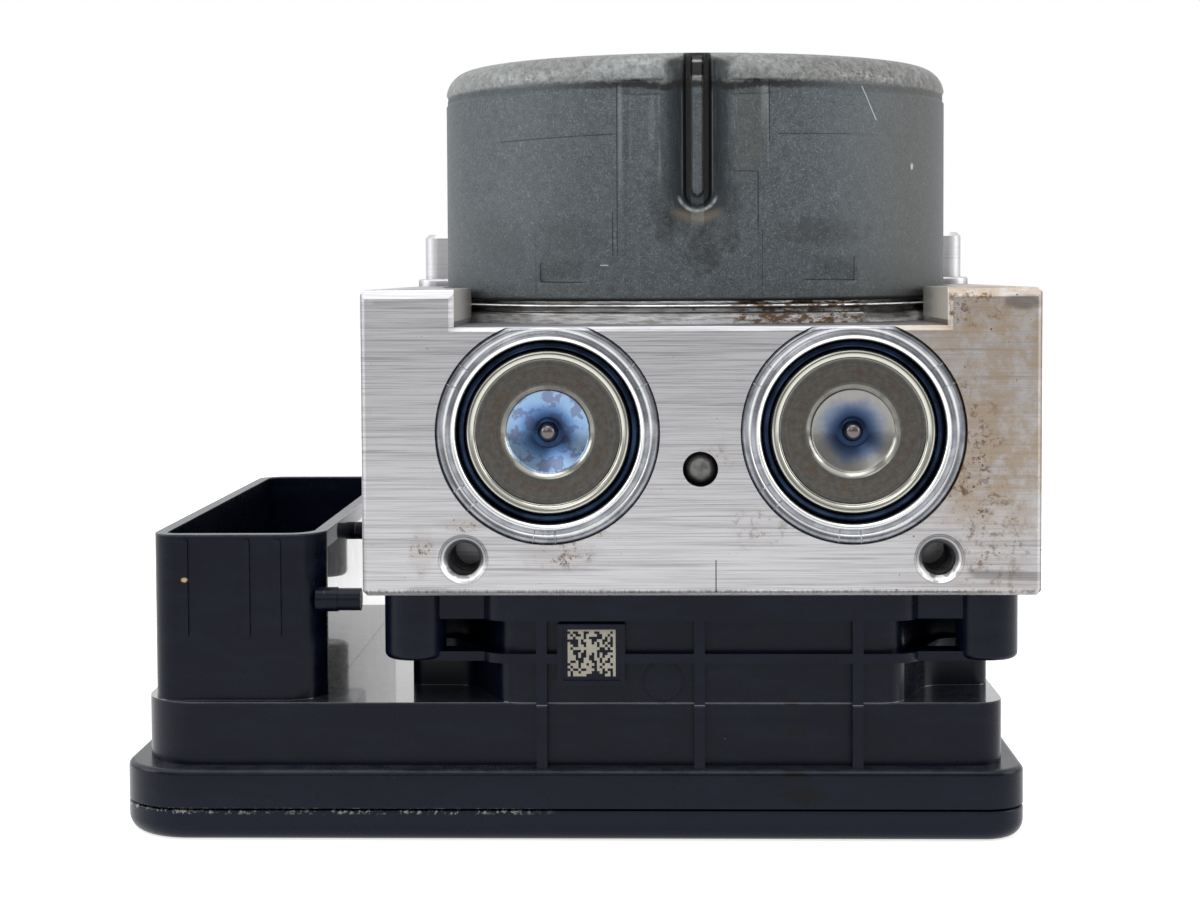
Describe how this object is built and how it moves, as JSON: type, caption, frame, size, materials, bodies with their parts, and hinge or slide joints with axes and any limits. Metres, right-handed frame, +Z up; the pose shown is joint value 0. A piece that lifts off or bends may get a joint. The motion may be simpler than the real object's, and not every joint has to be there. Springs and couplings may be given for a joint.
{
  "type": "abs brake module",
  "caption": "Brake pressure control unit: milled valve block with a round pump motor on top and a black control housing with an open connector below.",
  "frame": {"origin": "on the underside of the cover, under the motor's axis", "axes": "+X to the right and +Y to the back as seen from the accumulators, +Z up along the motor's axis"},
  "size_m": [0.1373, 0.1061, 0.1178],
  "materials": {
    "black_plastic": "moulded black, fine matt grain",
    "board_laminate": "green solder mask",
    "bright_steel": "ground bright",
    "cap_steel": "turned steel with a blue temper tint in the dish",
    "carbon": "pressed carbon",
    "coil_plastic": "moulded over the winding",
    "component_plastic": "moulded",
    "copper_wire": "enamelled copper",
    "cover_plastic": "moulded black, fine matt grain",
    "dark_steel": "blued and oiled",
    "ferrite": "sintered, dull black",
    "lamination_steel": "stacked sheet",
    "milled_aluminium": "milled and bead sawn, with brown stains",
    "piston_aluminium": "anodised",
    "plated_steel": "bright zinc plate",
    "seal_rubber": "smooth",
    "spring_steel": "oiled wire",
    "tinned_metal": "tinned",
    "zinc_steel": "dull grey zinc coat, worn lighter on the shoulder"
  },
  "bodies": {
    "unit": {"accumulator_cap_left": "cap_steel", "accumulator_cap_right": "cap_steel", "accumulator_clip_left": "dark_steel", "accumulator_clip_right": "dark_steel", "accumulator_spring_left": "spring_steel", "accumulator_spring_right": "spring_steel", "ball_plugs": "bright_steel", "board_components": "component_plastic", "brush_holder": "black_plastic", "brush_left": "carbon", "brush_right": "carbon", "brush_spring_left": "spring_steel", "brush_spring_right": "spring_steel", "circuit_board": "board_laminate", "coil_leads": "tinned_metal", "connector_pins": "tinned_metal", "ecu_cover": "cover_plastic", "ecu_housing": "black_plastic", "ecu_screws": "bright_steel", "housing_gasket": "seal_rubber", "hydraulic_block": "milled_aluminium", "inlet_valves": "plated_steel", "lower_bearing": "bright_steel", "magnet_left": "ferrite", "magnet_right": "ferrite", "motor_can": "zinc_steel", "motor_contacts": "tinned_metal", "motor_flange": "plated_steel", "outlet_valves": "plated_steel", "pump_barrel_left": "bright_steel", "pump_barrel_right": "bright_steel", "pump_plug_left": "plated_steel", "pump_plug_right": "plated_steel", "pump_spring_left": "spring_steel", "pump_spring_right": "spring_steel", "solenoid_coils": "coil_plastic", "upper_bearing": "bright_steel"},
    "rotor": {"motor_shaft": "bright_steel", "armature_core": "lamination_steel", "armature_windings": "copper_wire", "commutator": "copper_wire"},
    "ring": {"eccentric_ring": "bright_steel"},
    "pump_plunger_left": {"pump_piston_left": "bright_steel"},
    "pump_plunger_right": {"pump_piston_right": "bright_steel"},
    "store_left": {"accumulator_piston_left": "piston_aluminium", "accumulator_seal_left": "seal_rubber"},
    "store_right": {"accumulator_piston_right": "piston_aluminium", "accumulator_seal_right": "seal_rubber"}
  },
  "joints": [
    {"name": "rotor_spin", "type": "hinge", "parent": "unit", "child": "rotor", "pos_m": [0, 0, 0.0612], "axis": [0, 0, 1], "continuous": true},
    {"name": "ring_orbit", "type": "hinge", "parent": "rotor", "child": "ring", "pos_m": [0, 0.0012, 0.0612], "axis": [0, 0, 1], "continuous": true},
    {"name": "pump_stroke_left", "type": "slide", "parent": "unit", "child": "pump_plunger_left", "axis": [-1, 0, 0], "range_m": [0, 0.0024], "stiffness_N_per_m": 1000, "springref_m": -0.003, "deforming": ["pump_spring_left"]},
    {"name": "pump_stroke_right", "type": "slide", "parent": "unit", "child": "pump_plunger_right", "axis": [1, 0, 0], "range_m": [0, 0.0024], "stiffness_N_per_m": 1000, "springref_m": -0.003, "deforming": ["pump_spring_right"]},
    {"name": "store_stroke_left", "type": "slide", "parent": "unit", "child": "store_left", "axis": [0, -1, 0], "range_m": [0, 0.006], "stiffness_N_per_m": 1500, "springref_m": -0.004, "deforming": ["accumulator_spring_left"]},
    {"name": "store_stroke_right", "type": "slide", "parent": "unit", "child": "store_right", "axis": [0, -1, 0], "range_m": [0, 0.006], "stiffness_N_per_m": 1500, "springref_m": -0.004, "deforming": ["accumulator_spring_right"]}
  ],
  "couplings": [
    {"joint": "ring_orbit", "follows": "rotor_spin", "ratio": -1}
  ]
}
